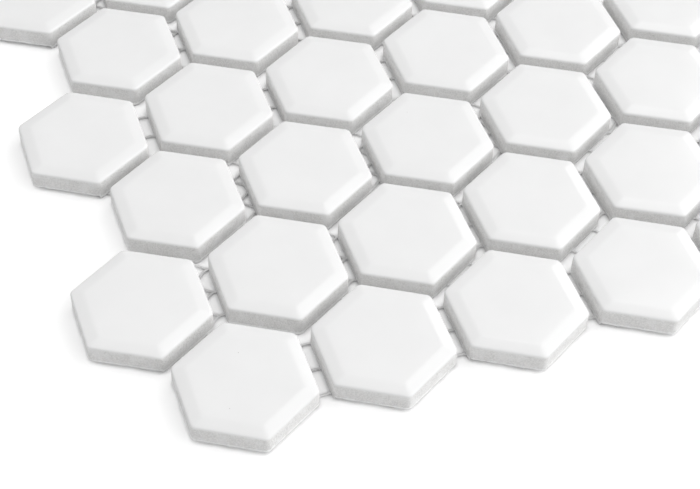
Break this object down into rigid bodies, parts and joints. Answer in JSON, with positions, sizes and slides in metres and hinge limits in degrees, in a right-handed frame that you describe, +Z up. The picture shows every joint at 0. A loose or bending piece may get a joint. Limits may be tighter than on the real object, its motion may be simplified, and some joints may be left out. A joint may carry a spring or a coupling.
{
  "type": "hexagon floor tile mosaic sheet",
  "caption": "Flexible sheet of small white glazed hexagon floor tiles with rolled edges, set in staggered rows on a fibreglass backing net with open joints.",
  "frame": {"origin": "middle of the sheet's outline, on the surface that the backing net lies on", "axes": "+Z up out of the glazed faces; rows of tiles run along X, and the rows follow each other along +Y, the sheet's longer side; two flats of every tile face X"},
  "size_m": [0.2706, 0.2974, 0.0049],
  "materials": {
    "glazed_porcelain": "white satin glaze on the face and rolled edges, bare matt body on the sides and back",
    "net_thread": "coated glass-fibre thread with a film of pale glue"
  },
  "bodies": {
    "root": {"tile_row_01": "glazed_porcelain", "tile_row_02": "glazed_porcelain", "tile_row_03": "glazed_porcelain", "tile_row_04": "glazed_porcelain", "tile_row_05": "glazed_porcelain", "tile_row_06": "glazed_porcelain", "tile_row_07": "glazed_porcelain", "tile_row_08": "glazed_porcelain", "tile_row_09": "glazed_porcelain", "tile_row_10": "glazed_porcelain", "tile_row_11": "glazed_porcelain", "tile_row_12": "glazed_porcelain", "tile_row_13": "glazed_porcelain", "net_warp_threads": "net_thread", "net_weft_threads": "net_thread"}
  },
  "joints": []
}
